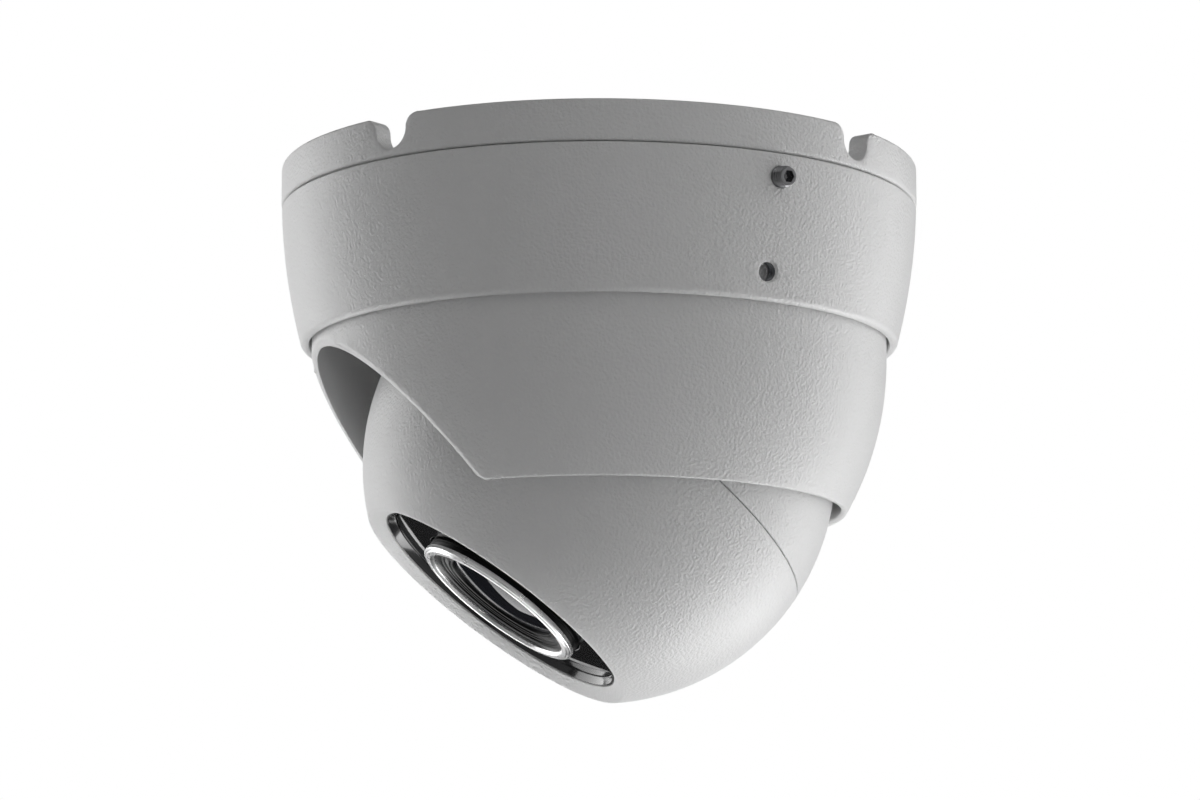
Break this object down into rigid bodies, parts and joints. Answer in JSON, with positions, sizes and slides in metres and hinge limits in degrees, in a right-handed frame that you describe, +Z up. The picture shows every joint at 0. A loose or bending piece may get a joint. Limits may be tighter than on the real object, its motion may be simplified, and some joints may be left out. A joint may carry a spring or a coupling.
{
  "type": "dome cctv camera",
  "caption": "Ceiling turret dome camera: notched mounting base, tapered shell, panning cup cut away at the front, and a lens eyeball that pans, tilts and rolls.",
  "frame": {"origin": "centre of the mounting base's ceiling face, on the pan axis", "axes": "+Z up into the ceiling, the lens faces -Y in the stored pose, +X is the tilt axis"},
  "size_m": [0.122, 0.122, 0.1022],
  "materials": {
    "painted_cast": "satin",
    "rubber": "matte",
    "bare_aluminium": "satin",
    "nylon": "matte",
    "steel": "satin",
    "spring_steel": "satin",
    "bright_ring": "polished",
    "black_gloss": "gloss",
    "dark_window": "gloss",
    "black_anodised": "satin",
    "black_plastic": "matte",
    "chip_black": "matte",
    "coated_glass": "gloss",
    "filter_glass": "gloss",
    "led": "gloss",
    "circuit_board": "satin",
    "brass": "satin",
    "copper_coil": "satin",
    "flex": "satin",
    "thermal_pad": "matte"
  },
  "bodies": {
    "base": {"mounting_base": "painted_cast", "base_o_ring": "rubber", "body_shell": "painted_cast", "pan_retaining_ring": "bare_aluminium", "pan_friction_washer": "nylon", "base_lock_screw": "steel"},
    "pan_head": {"pan_cup": "painted_cast", "tilt_pin_left": "steel", "tilt_pin_right": "steel"},
    "tilt_frame": {"tilt_yoke": "spring_steel", "roll_washer": "nylon"},
    "eyeball": {"front_cover": "painted_cast", "rear_cover": "painted_cast", "cover_o_ring": "rubber", "cover_screws": "steel", "roll_circlip": "steel", "cable_grommet": "rubber", "window_bezel": "black_gloss", "ir_window": "dark_window", "window_gasket": "rubber", "ir_board": "circuit_board", "ir_leds": "led", "light_sensor": "chip_black", "lens_hood": "black_anodised", "lens_ring": "bright_ring", "lens_retainer": "black_anodised", "front_lens": "coated_glass", "lens_barrel": "black_plastic", "zoom_motor": "steel", "focus_motor": "steel", "lens_mount": "black_plastic", "ir_cut_coil": "copper_coil", "image_sensor": "chip_black", "sensor_board": "circuit_board", "sensor_flex": "flex", "inner_frame": "bare_aluminium", "frame_screws": "steel", "board_standoffs": "brass", "main_board": "circuit_board", "main_chips": "chip_black", "thermal_pad": "thermal_pad", "heat_sink": "bare_aluminium", "power_board": "circuit_board", "power_parts": "chip_black"},
    "zoom_ring": {"zoom_gear": "nylon"},
    "zoom_drive": {"zoom_pinion": "brass"},
    "zoom_group": {"zoom_cell": "black_plastic", "zoom_lens": "coated_glass"},
    "focus_ring": {"focus_gear": "nylon"},
    "focus_drive": {"focus_pinion": "brass"},
    "focus_group": {"focus_cell": "black_plastic", "focus_lens": "coated_glass"},
    "filter_slide": {"ir_cut_slide": "black_plastic", "ir_cut_filters": "filter_glass"}
  },
  "joints": [
    {"name": "pan", "type": "hinge", "parent": "base", "child": "pan_head", "pos_m": [0, 0, -0.03], "axis": [0, 0, 1], "range_deg": [-177.5, 177.5]},
    {"name": "tilt", "type": "hinge", "parent": "pan_head", "child": "tilt_frame", "pos_m": [0, 0, -0.0574], "axis": [1, 0, 0], "range_deg": [-41.8, 36.2]},
    {"name": "roll", "type": "hinge", "parent": "tilt_frame", "child": "eyeball", "pos_m": [0, 0, -0.0574], "axis": [0, -0.5906, -0.807], "range_deg": [-177.5, 177.5]},
    {"name": "zoom_ring_turn", "type": "hinge", "parent": "eyeball", "child": "zoom_ring", "pos_m": [0, -0.00738, -0.06749], "axis": [0, -0.5906, -0.807], "range_deg": [0, 120]},
    {"name": "zoom_pinion_turn", "type": "hinge", "parent": "eyeball", "child": "zoom_drive", "pos_m": [0.021, -0.00738, -0.06749], "axis": [0, -0.5906, -0.807], "range_deg": [-300, 0]},
    {"name": "zoom_travel", "type": "slide", "parent": "eyeball", "child": "zoom_group", "axis": [0, -0.5906, -0.807], "range_m": [0, 0.008]},
    {"name": "focus_ring_turn", "type": "hinge", "parent": "eyeball", "child": "focus_ring", "pos_m": [0, -0.01211, -0.07394], "axis": [0, -0.5906, -0.807], "range_deg": [0, 90]},
    {"name": "focus_pinion_turn", "type": "hinge", "parent": "eyeball", "child": "focus_drive", "pos_m": [-0.021, -0.01211, -0.07394], "axis": [0, -0.5906, -0.807], "range_deg": [-225, 0]},
    {"name": "focus_travel", "type": "slide", "parent": "eyeball", "child": "focus_group", "axis": [0, -0.5906, -0.807], "range_m": [0, 0.003]},
    {"name": "filter_travel", "type": "slide", "parent": "eyeball", "child": "filter_slide", "axis": [1, 0, 0], "range_m": [0, 0.008]}
  ],
  "couplings": [
    {"joint": "zoom_ring_turn", "follows": "zoom_travel", "rad_per_m": 261.77},
    {"joint": "zoom_pinion_turn", "follows": "zoom_travel", "rad_per_m": -654.43},
    {"joint": "focus_ring_turn", "follows": "focus_travel", "rad_per_m": 523.55},
    {"joint": "focus_pinion_turn", "follows": "focus_travel", "rad_per_m": -1308.9}
  ]
}
